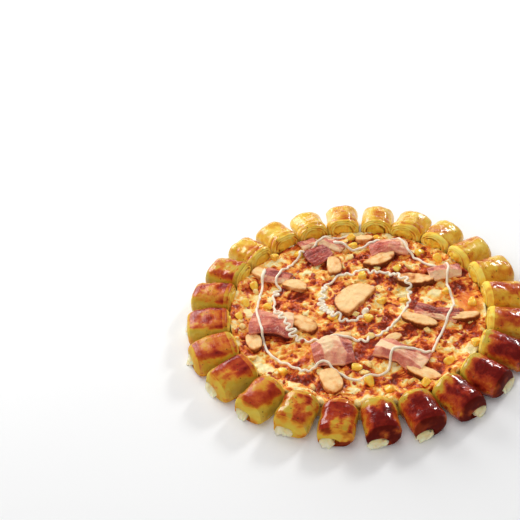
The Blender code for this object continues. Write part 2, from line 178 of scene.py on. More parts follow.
# Mayonnaise: distance from the middle (mm), direction (degrees) and how far the line wriggles there (mm)
LINE_RADIUS = 1.22
LINE_STEP = 0.5
WRIGGLE_PITCH = 7.0
INNER_LINE = (
    (11, 23, 0), (8, 290, 1.4), (13, 239, 1.8), (23, 189, 3.0), (34, 166, 3.2), (38, 148, 2.4), (46, 130, 1.6),
    (54, 104, 1.3), (59, 67, 1.8), (60, 39, 2.2), (54, 23, 1.2), (45, 2, 0.5), (38, 335, 0.3), (37, 303, 1.6),
    (39, 270, 1.8), (40, 250, 0.4), (51, 228, 1.2), (66, 213, 2.4), (68, 199, 2.6), (74, 184, 2.2), (80, 170, 1.4),
    (82, 158, 2.2), (91, 143, 1.0), (97, 125, 1.2), (108, 108, 0.5), (113, 92, 0.3),
)
OUTER_LINE = (
    (107, 146, 0.4), (97, 160, 0.5), (94, 178, 0.3), (92, 196, 0.2), (96, 214, 0.2), (91, 233, 0.8), (84, 241, 0.6),
    (76, 247, 0.2), (84, 260, 0.3), (88, 272, 0.2), (82, 287, 0.1), (69, 297, 0.1), (76, 310, 0.1), (87, 316, 0.3),
    (82, 333, 0.1), (84, 350, 0.2), (90, 5, 0.3), (91, 20, 0.1), (104, 33, 0.3), (95, 42, 0.4), (97, 56, 0.5),
    (111, 69, 0.3), (101, 77, 0.8), (91, 90, 0.9), (99, 103, 0.9),
)

# Small bits strewn over the cheese
BACON_BITS = 70
ONION_BITS = 30
HERB_FLECKS = 300

# Camera: it stands where the photograph was taken from, and its tilt was worked out from the pizza's outline
CAMERA_PLACE = Vector((-0.0002, -0.7969, 0.7483))
CAMERA_ELEVATION = 42.864
CAMERA_YAW = -4.711
CAMERA_PITCH = 2.919
CAMERA_ROLL = -1.671
CAMERA_LENS = 80.05


# Helpers for shapes


def fuzz(points, size, seed=0.0, octaves=1):
    """Smooth noise from about -1 to 1 at each point, with bumps of about that size in mm."""
    shift = Vector((seed * 17.3, seed * 5.1, seed * 9.7))
    total = np.zeros(len(points))
    for octave in range(octaves):
        step = 2 ** octave / size
        values = [noise.noise(Vector(point) * step + shift) for point in points]
        total += np.array(values) * 1.6 / 2 ** octave
    return total


def step_between(low, high, values):
    """0 below low, 1 above high, and smooth between them."""
    share = np.clip((values - low) / (high - low), 0, 1)
    return share * share * (3 - 2 * share)


def add_piece(name, points, faces, material, values=None, faces_material=None):
    """A smooth mesh of points in mm as a piece of the pizza. The values are painted on its corners by name."""
    mesh = bpy.data.meshes.new(name)
    mesh.from_pydata((np.asarray(points) * MM).tolist(), [], faces)
    materials = material if isinstance(material, (list, tuple)) else [material]
    for entry in materials:
        mesh.materials.append(entry)
    if faces_material is not None:
        mesh.polygons.foreach_set("material_index", faces_material)
    for label, numbers in (values or {}).items():
        layer = mesh.attributes.new(label, "FLOAT", "POINT")
        layer.data.foreach_set("value", np.asarray(numbers, dtype=np.float32))
    mesh.shade_smooth()
    mesh.update()
    item = bpy.data.objects.new(name, mesh)
    bpy.context.scene.collection.objects.link(item)
    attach(item, "root")
    return item


def ring_faces(rings, sides, first=0, start_cap=True, end_cap=True):
    """Faces between rings of points that follow each other, with a fan to one more point at each end."""
    faces = []
    for ring in range(rings - 1):
        low = first + ring * sides
        for side in range(sides):
            following = (side + 1) % sides
            faces.append((low + side, low + following, low + sides + following, low + sides + side))
    middle = first + rings * sides
    last = first + (rings - 1) * sides
    for side in range(sides):
        following = (side + 1) % sides
        if start_cap:
            faces.append((first + following, first + side, middle))
        if end_cap:
            faces.append((last + side, last + following, middle + 1))
    return faces


def face_outward(item):
    """Turns every face of a closed mesh outwards."""
    import bmesh
    body = bmesh.new()
    body.from_mesh(item.data)
    bmesh.ops.recalc_face_normals(body, faces=body.faces)
    body.to_mesh(item.data)
    body.free()


# Helpers for materials


def srgb(red, green, blue):
    """A colour given in the usual 0 to 255 steps, as linear light."""
    channels = [channel / 255 for channel in (red, green, blue)]
    return tuple(c / 12.92 if c <= 0.04045 else ((c + 0.055) / 1.055) ** 2.4 for c in channels)


class Surface:
    """One procedural material, put together node by node. Sizes are in mm."""

    def __init__(self, name, roughness=0.5, specular=0.5, subsurface=0.0, coat=0.0, coat_roughness=0.1, glow=None):
        self.material = bpy.data.materials.new(name)
        self.material.use_nodes = True
        self.tree = self.material.node_tree
        self.shader = self.tree.nodes["Principled BSDF"]
        self.set("Roughness", roughness)
        self.set("Specular IOR Level", specular)
        self.set("Subsurface Weight", subsurface)
        self.set("Subsurface Scale", 0.003)
        self.shader.inputs["Subsurface Radius"].default_value = (1.0, 0.5, 0.25)
        self.set("Coat Weight", coat)
        self.set("Coat Roughness", coat_roughness)
        self.place = self.add("ShaderNodeTexCoord").outputs["Object"]

    def add(self, kind, **settings):
        node = self.tree.nodes.new(kind)
        for key, value in settings.items():
            setattr(node, key, value)
        return node

    def set(self, socket, value):
        self.shader.inputs[socket].default_value = value

    def link(self, start, end):
        self.tree.links.new(start, end)

    def painted(self, label):
        return self.add("ShaderNodeAttribute", attribute_name=label).outputs["Fac"]

    def noise(self, size, detail=2.0, rough=0.5, warp=0.0, stretch=None):
        node = self.add("ShaderNodeTexNoise")
        node.inputs["Scale"].default_value = 1000 / size
        node.inputs["Detail"].default_value = detail
        node.inputs["Roughness"].default_value = rough
        node.inputs["Distortion"].default_value = warp
        place = self.place
        if stretch:
            mapping = self.add("ShaderNodeMapping")
            mapping.inputs["Scale"].default_value = stretch
            self.link(place, mapping.inputs["Vector"])
            place = mapping.outputs["Vector"]
        self.link(place, node.inputs["Vector"])
        return node.outputs["Fac"]

    def cells(self, size, feature="F1", randomness=1.0):
        node = self.add("ShaderNodeTexVoronoi", feature=feature)
        node.inputs["Scale"].default_value = 1000 / size
        node.inputs["Randomness"].default_value = randomness
        self.link(self.place, node.inputs["Vector"])
        return node.outputs["Distance"]

    def feed(self, value, socket):
        if isinstance(value, (int, float)):
            socket.default_value = value
        elif isinstance(value, tuple):
            socket.default_value = (*value, 1.0)
        else:
            self.link(value, socket)

    def math(self, operation, first, second=0.0, clamp=False):
        node = self.add("ShaderNodeMath", operation=operation, use_clamp=clamp)
        self.feed(first, node.inputs[0])
        self.feed(second, node.inputs[1])
        return node.outputs["Value"]

    def range(self, value, low, high, to_low=0.0, to_high=1.0):
        node = self.add("ShaderNodeMapRange", interpolation_type="SMOOTHSTEP")
        self.feed(value, node.inputs["Value"])
        node.inputs["From Min"].default_value = low
        node.inputs["From Max"].default_value = high
        node.inputs["To Min"].default_value = to_low
        node.inputs["To Max"].default_value = to_high
        return node.outputs["Result"]

    def ramp(self, value, stops):
        node = self.add("ShaderNodeValToRGB")
        self.feed(value, node.inputs["Fac"])
        elements = node.color_ramp.elements
        for index, (place, colour) in enumerate(stops):
            element = elements[index] if index < 2 else elements.new(place)
            element.position = place
            element.color = (*srgb(*colour), 1)
        return node.outputs["Color"]

    def blend(self, share, first, second, kind="MIX"):
        node = self.add("ShaderNodeMix", data_type="RGBA", blend_type=kind)
        self.feed(share, node.inputs["Factor"])
        self.feed(first, node.inputs[6])
        self.feed(second, node.inputs[7])
        return node.outputs[2]

    def colour(self, value):
        self.feed(value, self.shader.inputs["Base Color"])

    def roughen(self, value):
        self.link(value, self.shader.inputs["Roughness"])

    def bump(self, height, depth, strength=1.0):
        node = self.add("ShaderNodeBump")
        node.inputs["Strength"].default_value = strength
        node.inputs["Distance"].default_value = depth * MM
        self.link(height, node.inputs["Height"])
        self.link(node.outputs["Normal"], self.shader.inputs["Normal"])
        return node


# Materials


def dough_material(name, coat, coat_roughness, olive, depth, mottle):
    """Glazed dough, from pale gold to dark brown where the oven caught it and where shade is painted, with small dark
    flecks of herb.
    """
    look = Surface(name, 0.3, 0.12, 0.1, coat, coat_roughness)
    brown = look.painted("brown")
    patches = look.noise(7, 4, 0.6, 0.4)
    fine = look.noise(1.6, 3, 0.6)
    tone = look.math("ADD", brown, look.math("MULTIPLY", look.math("SUBTRACT", patches, 0.5), mottle))
    tone = look.math("ADD", tone, look.math("MULTIPLY", look.math("SUBTRACT", fine, 0.5), 0.22), True)
    colour = look.ramp(tone, (
        (0.0, (252, 216, 100)), (0.14, (242, 192, 60)), (0.28, (226, 154, 42)), (0.42, (204, 106, 32)),
        (0.56, (186, 74, 30)), (0.76, (160, 44, 25)), (1.0, (114, 20, 15)),
    ))
    green = look.range(look.noise(18, 2), 0.2, 0.5, 0.0, olive)
    colour = look.blend(look.math("MULTIPLY", green, look.range(tone, 0.44, 0.12)), colour, srgb(182, 158, 55))
    flecks = look.math("MULTIPLY", look.range(look.cells(5.0), 0.15, 0.1), look.range(look.noise(9, 1), 0.45, 0.52))
    look.colour(look.blend(look.math("MULTIPLY", flecks, 0.85), colour, srgb(66, 52, 14)))
    look.roughen(look.range(tone, 0.2, 0.75, 0.42, 0.2))
    relief = look.math("ADD", look.math("MULTIPLY", fine, 0.4), look.noise(3.6, 2))
    turns = look.math("ADD", look.painted("wrinkle"), look.math("MULTIPLY", look.noise(9, 2), 14))
    wrinkles = look.math("MULTIPLY", look.math("SINE", turns), look.range(look.noise(7, 1), 0.42, 0.62, 0.0, 0.16))
    look.bump(look.math("ADD", relief, wrinkles), depth, 0.7)
    return look.material


def crumb_material(name, olive):
    """Soft unglazed dough at the ends and the foot of a roll, browned and darkened by painted shade where it is painted
    so.
    """
    look = Surface(name, 0.5, 0.05, 0.2)
    spots = look.math("MULTIPLY", look.math("SUBTRACT", look.noise(5, 3), 0.5), 0.3)
    tone = look.math("ADD", look.painted("brown"), spots, True)
    colour = look.ramp(tone, (
        (0.0, (255, 232, 124)), (0.15, (255, 220, 92)), (0.4, (228, 146, 46)), (0.7, (150, 56, 24)), (1.0, (92, 20, 12)),
    ))
    green = look.range(look.noise(14, 2), 0.2, 0.5, 0.3 * olive, olive)
    colour = look.blend(look.math("MULTIPLY", green, look.range(tone, 0.5, 0.2)), colour, srgb(206, 174, 60))
    look.colour(colour)
    look.bump(look.noise(2.5, 3), 0.3, 0.5)
    return look.material


def core_material():
    """The yellow filling that shows at the ends of the rolls."""
    look = Surface("yellow_filling", 0.35, 0.5, 0.2, 0.2)
    colour = look.ramp(look.noise(4, 3, 0.6), ((0.3, (255, 222, 84)), (0.55, (252, 200, 58)), (0.75, (238, 164, 44))))
    look.colour(colour)
    look.bump(look.noise(1.5, 3), 0.3, 0.6)
    return look.material


def white_cheese_material():
    """Soft white cheese that has run out of the rolls."""
    look = Surface("white_cheese", 0.3, 0.5, 0.3, 0.2)
    colour = look.ramp(look.noise(5, 3, 0.6), ((0.35, (255, 248, 220)), (0.6, (250, 236, 184)), (0.8, (230, 200, 120))))
    look.colour(look.blend(look.math("MULTIPLY", look.painted("brown"), 0.5), colour, srgb(214, 184, 84)))
    look.bump(look.noise(2.2, 3), 0.3, 0.5)
    return look.material


def cheese_material():
    """Melted cheese: creamy strands, orange hollows with oil and tomato, toasted brown patches, and painted shadow
    round the toppings.
    """
    look = Surface("baked_cheese", 0.36, 0.2, 0.1, 0.12, 0.12)
    patches = look.noise(16, 5, 0.64, 0.5)
    strands = look.noise(4.2, 4, 0.55, 0.15)
    grain = look.noise(1.0, 2, 0.6)
    mix = look.range(patches, 0.37, 0.63, -0.47, 0.47)
    mix = look.math("ADD", mix, look.math("MULTIPLY", look.math("SUBTRACT", strands, 0.5), 0.4))
    mix = look.math("ADD", mix, look.math("MULTIPLY", look.math("SUBTRACT", grain, 0.5), 0.24))
    tone = look.math("ADD", look.painted("toast_and_shade"), look.math("MULTIPLY", mix, look.painted("lively")), True)
    colour = look.ramp(tone, (
        (0.0, (255, 236, 176)), (0.14, (255, 219, 132)), (0.28, (255, 192, 90)), (0.42, (246, 154, 60)),
        (0.56, (230, 118, 46)), (0.7, (200, 80, 34)), (0.84, (166, 54, 24)), (1.0, (122, 38, 16)),
    ))
    look.colour(colour)
    look.roughen(look.range(tone, 0.1, 0.8, 0.42, 0.26))
    look.bump(look.math("ADD", strands, look.math("MULTIPLY", grain, 0.3)), 1.0, 0.8)
    return look.material


def chicken_material():
    """Cooked chicken: pale with fine pores, and browned where the paint says so."""
    look = Surface("cooked_chicken", 0.42, 0.2, 0.15, 0.06, 0.25)
    brown = look.painted("brown")
    mottle = look.noise(6, 4, 0.6)
    grain = look.noise(1.3, 3, 0.6)
    tone = look.math("ADD", brown, look.math("MULTIPLY", look.math("SUBTRACT", mottle, 0.43), 0.9))
    tone = look.math("ADD", tone, look.math("MULTIPLY", look.math("SUBTRACT", grain, 0.5), 0.2), True)
    colour = look.ramp(tone, (
        (0.0, (254, 216, 156)), (0.2, (252, 204, 142)), (0.4, (242, 178, 108)), (0.64, (192, 106, 48)),
        (1.0, (116, 52, 24)),
    ))
    pores = look.range(look.noise(2.4, 2), 0.6, 0.7)
    colour = look.blend(look.math("MULTIPLY", pores, 0.35), colour, srgb(222, 158, 100))
    specks = look.math("MULTIPLY", look.range(look.cells(4.5), 0.13, 0.08), look.range(look.noise(8, 1), 0.5, 0.55))
    look.colour(look.blend(look.math("MULTIPLY", specks, 0.6), colour, srgb(150, 84, 40)))
    look.bump(look.math("ADD", grain, look.math("MULTIPLY", mottle, 0.7)), 0.35, 0.6)
    return look.material


def ham_material():
    """Cooked ham: pink meat from light to dark red, partly from painted light and shade on its facets, with pale
    streaks of fat.
    """
    look = Surface("cooked_ham", 0.38, 0.2, 0.15, 0.1, 0.2)
    dark = look.painted("dark")
    meat = look.noise(8, 3, 0.55, 0.5)
    grain = look.noise(1.4, 3, 0.6)
    tone = look.math("ADD", dark, look.math("MULTIPLY", look.math("SUBTRACT", meat, 0.5), 0.45))
    tone = look.math("ADD", tone, look.math("MULTIPLY", look.math("SUBTRACT", grain, 0.5), 0.25), True)
    colour = look.ramp(tone, (
        (0.0, (255, 216, 170)), (0.2, (246, 180, 142)), (0.42, (222, 128, 104)), (0.62, (186, 84, 70)),
        (0.82, (146, 58, 50)), (1.0, (104, 38, 36)),
    ))
    cast = look.range(look.noise(16, 2), 0.4, 0.65, 0.0, 0.35)
    colour = look.blend(look.math("MULTIPLY", cast, look.range(tone, 0.2, 0.5)), colour, srgb(176, 112, 108))
    streaks = look.range(look.noise(3.4, 3, 0.6, 1.5), 0.56, 0.66)
    look.colour(look.blend(look.math("MULTIPLY", streaks, 0.45), colour, srgb(246, 200, 168)))
    look.bump(look.math("ADD", grain, look.math("MULTIPLY", streaks, 0.5)), 0.35, 0.6)
    return look.material


def corn_material():
    look = Surface("sweetcorn", 0.25, 0.3, 0.35, 0.25, 0.1)
    colour = look.ramp(look.noise(5, 3, 0.6), ((0.3, (255, 222, 110)), (0.52, (255, 200, 70)), (0.75, (248, 162, 50))))
    look.colour(colour)
    look.bump(look.noise(2.5, 2), 0.25, 0.4)
    return look.material


def mayonnaise_material():
    look = Surface("mayonnaise", 0.35, 0.25, 0.3, 0.1, 0.1)
    look.shader.inputs["Subsurface Radius"].default_value = (1.0, 0.9, 0.8)
    look.colour(look.ramp(look.noise(6, 2), ((0.3, (255, 244, 222)), (0.75, (255, 232, 202)))))
    look.bump(look.noise(2.5, 2), 0.15, 0.4)
    return look.material


def bacon_material():
    look = Surface("bacon_bits", 0.35, 0.2, 0.05, 0.2, 0.12)
    look.colour(look.ramp(look.noise(3, 3, 0.65), ((0.3, (226, 120, 76)), (0.5, (190, 74, 42)), (0.72, (118, 36, 22)))))
    look.bump(look.noise(0.9, 3), 0.3, 0.7)
    return look.material


def onion_material():
    look = Surface("onion_bits", 0.35, 0.25, 0.3, 0.1, 0.15)
    look.colour(look.ramp(look.noise(4, 3, 0.6), ((0.3, (255, 232, 170)), (0.55, (252, 208, 122)), (0.75, (238, 160, 74)))))
    look.bump(look.noise(1.4, 3), 0.25, 0.5)
    return look.material


def herb_material():
    look = Surface("dried_herb", 0.7, 0.3)
    look.colour(look.ramp(look.noise(1.2, 2), ((0.35, (74, 78, 26)), (0.65, (40, 44, 14)))))
    look.bump(look.noise(0.5, 2), 0.1, 0.6)
    return look.material


def base_material():
    """The baked disc of dough, in patches of pale and darker brown."""
    look = Surface("baked_base", 0.65, 0.35, 0.05)
    patches = look.noise(16, 4, 0.6)
    fine = look.noise(2.2, 4, 0.6)
    tone = look.math("ADD", look.math("MULTIPLY", patches, 0.65), look.math("MULTIPLY", fine, 0.35))
    look.colour(look.ramp(tone, ((0.3, (232, 192, 122)), (0.48, (212, 154, 78)), (0.6, (176, 104, 46)), (0.72, (122, 62, 26)))))
    look.bump(look.math("ADD", fine, patches), 0.5, 0.6)
    return look.material


# Cheese


def cheese_height(across, along):
    """The top of the bare cheese in the solids, in mm."""
    place = Vector((across, along, 0))
    swell = 0.8 * noise.noise(place / 26) + 0.7 * noise.noise(place / 9 + Vector((7, 3, 1)))
    edge = min(1, math.hypot(across, along) / CHEESE_RADIUS) ** 8
    return CHEESE_TOP + swell - CHEESE_EDGE_DROP * edge


def disc_points(cells, radius):
    """A square lattice bent into a disc, so that its cells stay nearly equal."""
    line = np.linspace(-1, 1, cells + 1)
    a, b = np.meshgrid(line, line, indexing="ij")
    wide = np.abs(a) > np.abs(b)
    reach = np.where(wide, a, b)
    other = np.where(wide, b, a)
    share = np.divide(other, reach, out=np.zeros_like(reach), where=reach != 0)
    angle = np.where(wide, math.pi / 4 * share, math.pi / 2 - math.pi / 4 * share)
    return (reach * np.cos(angle) * radius).ravel(), (reach * np.sin(angle) * radius).ravel()


def toppings_tree(items):
    """All the faces of these objects, in mm, to measure how near they are."""
    points = []
    faces = []
    for item in items:
        first = len(points)
        points += [vertex.co / MM for vertex in item.data.vertices]
        faces += [tuple(first + corner for corner in polygon.vertices) for polygon in item.data.polygons]
    return BVHTree.FromPolygons(points, faces)


def make_cheese(material, toppings):
    across, along = disc_points(CHEESE_CELLS, CHEESE_RADIUS)
    flat = np.stack([across, along, np.zeros_like(across)], 1)
    reach = np.hypot(across, along)
    height = np.array([cheese_height(x, y) for x, y in zip(across, along)])

    bubbles = np.array([noise.voronoi(Vector(p) / CHEESE_CELL + Vector((0, 0, 3)))[0] for p in flat + fuzz_shift(flat)])
    nearest = bubbles[:, 0]
    gap = bubbles[:, 1] - bubbles[:, 0]
    honeycomb = np.full(len(flat), 0.25)
    for x, y, radius in HONEYCOMBS:
        honeycomb = np.maximum(honeycomb, step_between(1.15, 0.7, np.hypot(across - x, along - y) / radius))
    pits = (1 - step_between(0.14, 0.48, nearest)) * honeycomb
    walls = (1 - step_between(0.0, 0.34, gap)) * honeycomb
    pool = step_between(1.15, 0.6, np.hypot((across - POOL[0]) / POOL[2], (along - POOL[1]) / POOL[3]))
    lumps = fuzz(flat, 5.0, 2, 2)
    knobs = step_between(-0.05, 0.4, fuzz(flat, 11, 22, 2))
    burnt = step_between(0.1, 0.5, fuzz(flat, 17, 23, 3))
    strands = 1 - np.abs(fuzz(flat, 4.2, 3, 2)) * 2
    strands = np.clip(strands, -1, 1)

    near = np.full(len(flat), 40.0)
    for index, (x, y, z) in enumerate(zip(across, along, height)):
        found = toppings.find_nearest(Vector((x, y, z)), 9.0)
        if found[3] is not None:
            near[index] = found[3]
    climb = np.exp(-(near / 2.2) ** 2)

    broad = fuzz(flat, 30, 5, 2)
    middle = fuzz(flat, 11, 6, 2)
    small = fuzz(flat, 5.5, 7)
    side = across / CHEESE_RADIUS
    # Painted shadow round the toppings, partly dark oil gathered against them
    crevice_shadow_and_oil = np.exp(-(near / 3.6) ** 2) * step_between(-0.3, 0.3, fuzz(flat, 12, 24, 2))
    toast_and_shade = 0.535 + 0.1 * broad + 0.06 * middle + 0.04 * small + 0.03 * side
    toast_and_shade += 0.34 * pits - 0.2 * walls - 0.06 * strands - 0.3 * knobs * (1 - 0.4 * burnt) * (1 - 0.5 * honeycomb)
    toast_and_shade += 0.2 * burnt + 0.3 * crevice_shadow_and_oil
    toast_and_shade += (0.5 - toast_and_shade) * 0.8 * pool
    edge = step_between(102, 118, reach)
    toast_and_shade -= 0.12 * edge
    toast_and_shade = np.clip(toast_and_shade, 0.02, 0.98)

    height += (0.4 * lumps + 0.3 * strands - 1.3 * pits + 0.5 * walls + 1.5 * knobs - 0.6) * (1 - 0.8 * pool)
    height += 0.18 * fuzz(flat, 1.8, 8)
    front = step_between(0.3, -0.4, (along + 0.6 * across) / CHEESE_RADIUS)
    height += 0.5 * climb + edge * (1.2 + 0.9 * middle + front * (4.2 + 1.5 * middle))
    rim = CHEESE_CELLS
    count = CHEESE_CELLS + 1
    points = np.stack([across, along, height], 1)
    faces = []
    for i in range(CHEESE_CELLS):
        for j in range(CHEESE_CELLS):
            low = i * count + j
            faces.append((low, low + count, low + count + 1, low + 1))
    border = [i * count for i in range(rim)] + [rim * count + j for j in range(rim)]
    border += [i * count + rim for i in range(rim, 0, -1)] + list(range(rim, 0, -1))
    first = len(points)
    foot = points[border].copy()
    foot[:, 2] = CHEESE_BOTTOM
    points = np.concatenate([points, foot])
    toast_and_shade = np.concatenate([toast_and_shade, toast_and_shade[border]])
    lively = (1 - 0.75 * pool) * (1 - 0.35 * honeycomb)
    lively = np.concatenate([lively, lively[border]])
    for index, corner in enumerate(border):
        following = (index + 1) % len(border)
        faces.append((corner, first + index, first + following, border[following]))
    faces.append([first + index for index in range(len(border))])
    item = add_piece("cheese_top", points, faces, material, {"toast_and_shade": toast_and_shade, "lively": lively})
    face_outward(item)
    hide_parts("cheese")
    return item


def fuzz_shift(points):
    """A gentle sideways warp, so that cells don't look regular."""
    return np.stack([fuzz(points, 9, 11), fuzz(points, 9, 12), np.zeros(len(points))], 1) * 2.2


# Rolls


def roll_angle(index):
    """Its direction from the middle: even steps, drawn a little closer together on one side."""
    even = math.radians(96 - index * 360 / ROLL_COUNT)
    return even + math.radians(1.6) * math.cos(even - math.radians(320))


def squared_ring(sides, squareness):
    """Points round a squared ellipse of half size 1, as the two arrays across and up."""
    turns = 2 * math.pi * (np.arange(sides) + 0.5) / sides
    power = 2 / squareness
    across = np.sign(np.cos(turns)) * np.abs(np.cos(turns)) ** power
    up = np.sign(np.sin(turns)) * np.abs(np.sin(turns)) ** power
    return across, up


def around(degrees, centre, width):
    """A bump of height 1 in a direction, fading over that width."""
    return math.exp(-(((degrees - centre + 180) % 360 - 180) / width) ** 2)


class RollFrame:
    """One roll's directions and size, and the planes that keep it clear of its neighbours. Lengths are in mm."""

    def __init__(self, index):
        draw = random.Random(SEED + index)
        angle = roll_angle(index)
        self.outward = np.array((math.cos(angle), math.sin(angle), 0))
        self.sideways = np.array((-math.sin(angle), math.cos(angle), 0))
        self.left = math.tan((roll_angle(index - 1) - angle) / 2)
        self.right = math.tan((angle - roll_angle(index + 1)) / 2)
        self.width = ROLL_WIDTH * draw.uniform(0.95, 1.04)
        self.height = draw.uniform(0.95, 1.03)
        self.lean = math.tan(math.radians(draw.uniform(-3, 3)))
        length = ROLL_STATIONS[-1][0] - ROLL_STEP_RADIUS
        shortfall = (BACK_SHORTFALL if math.sin(angle) > 0 else FRONT_SHORTFALL) * math.sin(angle) ** 2
        self.stretch = draw.uniform(0.96, 1.04) - shortfall / length
        self.boxy = around(math.degrees(angle), 190, 45)
        self.squareness = 2.1 + 1.4 * self.boxy
        self.mouth_side = 1 if math.cos(angle - math.radians(20)) > 0.2 else -1

    def place(self, reach, across, up):
        """The points at these distances from the middle, to the side and up."""
        beyond = np.maximum(reach - ROLL_STEP_RADIUS, 0) * (1 - self.stretch)
        reach = reach - beyond
        across = across + (reach - ROLL_CENTRE_RADIUS) * self.lean
        across = np.minimum(across, reach * self.left - ROLL_GAP)
        across = np.maximum(across, ROLL_GAP - reach * self.right)
        level = np.zeros_like(up)
        return reach[:, None] * self.outward + across[:, None] * self.sideways + np.stack([level, level, up], 1)

    def section(self, reach):
        """The outline of the dough at that distance, as across and up."""
        stations = np.array(ROLL_STATIONS)
        top = np.interp(reach, stations[:, 0], stations[:, 1]) * self.height
        share = np.interp(reach, stations[:, 0], stations[:, 3])
        foot = ROLL_STEP_FOOT if reach < ROLL_STEP_RADIUS else ROLL_FOOT
        across, up = squared_ring(ROLL_SIDES, self.squareness)
        return self.width / 2 * share * across, np.maximum(foot, top * (0.46 + 0.56 * up))


def roll_rings(roll):
    """The rings of the dough's skin from deep in its inner end to deep in its outer one, as reach, across and up."""
    rings = []
    across, up = roll.section(INNER_COLLAR_REACH)
    middle = (up.max() + up.min()) / 2
    for reach, share in INNER_LAYERS:
        rings.append((reach, across * share, middle + (up - middle) * share))
    for reach in np.linspace(ROLL_STEP_RADIUS + 0.1, OUTER_CAP_REACH, 34):
        rings.append((reach, *roll.section(reach)))
    across, up = roll.section(OUTER_CAP_REACH)
    round_across, round_up = squared_ring(ROLL_SIDES, roll.squareness)
    mouth_across = roll.width * (0.17 * roll.mouth_side + 0.29 * round_across)
    mouth_up = MOUTH_HEIGHT + MOUTH_HALF_HEIGHT * round_up
    depth = ROLL_STATIONS[-1][0] - OUTER_CAP_REACH
    for turn in np.linspace(0.12, 1, 9):
        share = turn ** 1.6
        reach = OUTER_CAP_REACH + depth * math.sin(turn * math.pi / 2) ** 0.8
        rings.append((reach, across + (mouth_across - across) * share, up + (mouth_up - up) * share))
    for back, share in ((0.7, 0.9), (3.0, 0.8), (7.0, 0.72), (11.0, 0.6)):
        shifted = roll.width * 0.17 * roll.mouth_side
        inside = shifted + (mouth_across - shifted) * share
        rings.append((ROLL_STATIONS[-1][0] - back, inside, MOUTH_HEIGHT + (mouth_up - MOUTH_HEIGHT) * share))
    return rings


def roll_dough(roll, index):
    """Points, faces and browning of the dough of one roll, with painted shade at its foot, in the crevices of its inner
    end and on its outer end.
    """
    points = []
    brown = []
    baked = ROLL_BROWNING[index]
    inner, outer = ROLL_STATIONS[0][0], ROLL_STATIONS[-1][0]
    for number, (reach, across, up) in enumerate(roll_rings(roll)):
        points.append(roll.place(np.full(ROLL_SIDES, reach), across, up))
        crest = step_between(0.55 + 0.22 * roll.boxy, 0.9 + 0.05 * roll.boxy, up / (26.5 * roll.height))
        side = step_between(0.05, 0.45, up / 26.5)
        along = (reach - inner) / (outer - inner)
        patch = crest * (1 - 0.5 * step_between(0.35, 0.8, along) * (1 - baked))
        outward = step_between(0.1, 0.5, along) if baked > DARK_LIMIT else 1.0
        dark = 0.27 * outward * step_between(DARK_LIMIT, 0.9, baked)
        tip = 0.2 * baked * step_between(0.72, 0.95, along)
        paint = 0.05 + dark + tip + baked * baked * (0.2 + 0.2 * side) * outward
        paint = paint + (0.06 + 0.5 * baked + 0.3 * roll.boxy) * patch * (0.4 + 0.6 * outward)
        # Painted shade: the low parts of baked rolls are darkened, where shadow falls near the ground between them
        paint = paint + 0.5 * baked * step_between(10, 1, up)
        if number < len(INNER_LAYERS):
            # the layers of the inner end, with painted shade in their crevices
            paint = (0.16 if number < BARE_LAYERS else 0.55) * paint + INNER_CREVICE_SHADE[number]
        elif reach < ROLL_STEP_RADIUS:
            paint = 0.6 * paint
        elif reach > OUTER_CAP_REACH:
            # The outer end of a baked roll is darker: partly browning, partly painted shade on the end that faces away
            # from the lights
            paint = paint + 0.3 * step_between(0.35, 0.8, baked) * step_between(156, 160, reach)
        brown.append(paint)
    rings = len(points)
    points = np.concatenate(points)
    brown = np.concatenate(brown)

    seed = index * 3.7
    lift = 1.0 * fuzz(points, 15, seed) + 0.35 * fuzz(points, 5, seed + 1) + 0.1 * fuzz(points, 1.8, seed + 2)
    reach = points @ roll.outward
    wraps = np.sin(reach * 2 * math.pi / 7.5 + 2.2 * fuzz(points, 16, seed + 3)) * step_between(137, 126, reach)
    golden = max(0.0, 0.45 - baked) / 0.45
    lift += 0.6 * wraps * golden
    centre = roll.outward * ROLL_CENTRE_RADIUS + np.array((0, 0, 12))
    away = points - centre
    away -= (away @ roll.outward)[:, None] * roll.outward
    size = np.maximum(np.linalg.norm(away, axis=1), 1)
    free = step_between(0.2, 3.0, points[:, 2])
    points = points + away / size[:, None] * (lift * free - 0.45)[:, None]
    points[:, 2] = np.maximum(points[:, 2], ROLL_FOOT)

    drawn_out = points - (reach * 0.45)[:, None] * roll.outward
    patches = fuzz(drawn_out, 11, seed + 4, 3)
    spots = step_between(0.5, 0.7, fuzz(points, 4.5, seed + 5))
    sharp = step_between(-0.5, 0.5, patches) - 0.5
    brown = brown + 0.05 * patches + 0.85 * brown * (1 - 0.5 * baked) * sharp
    brown = brown + 0.22 * spots * (0.2 + baked) + 0.28 * golden * step_between(0.5, 0.95, -wraps)
    points = np.concatenate([points, [points[:ROLL_SIDES].mean(0)], [points[-ROLL_SIDES:].mean(0)]])
    brown = np.concatenate([np.clip(brown, 0, 1), [0.1, 0.5]])
    wrinkle = np.concatenate([reach * 2 * math.pi / WRINKLE_PITCH, [0.0, 0.0]])
    return points, ring_faces(rings, ROLL_SIDES), brown, wrinkle


def roll_filling(roll, stations, sides=30):
    """A closed body along the roll: each station has reach, across, up, half width and half height."""
    turns = 2 * math.pi * np.arange(sides) / sides
    rings = []
    for reach, across, up, wide, tall in stations:
        height = np.maximum(up + tall * np.sin(turns), ROLL_FOOT)
        rings.append(roll.place(np.full(sides, float(reach)), across + wide * np.cos(turns), height))
    points = np.concatenate(rings)
    points = points + (fuzz(points, 4.5, stations[0][1], 2) * 1.2)[:, None] * np.array((1.0, 1.0, 1.0))
    points[:, 2] = np.maximum(points[:, 2], ROLL_FOOT)
    points = np.concatenate([points, [rings[0].mean(0)], [rings[-1].mean(0)]])
    return points, ring_faces(len(stations), sides)


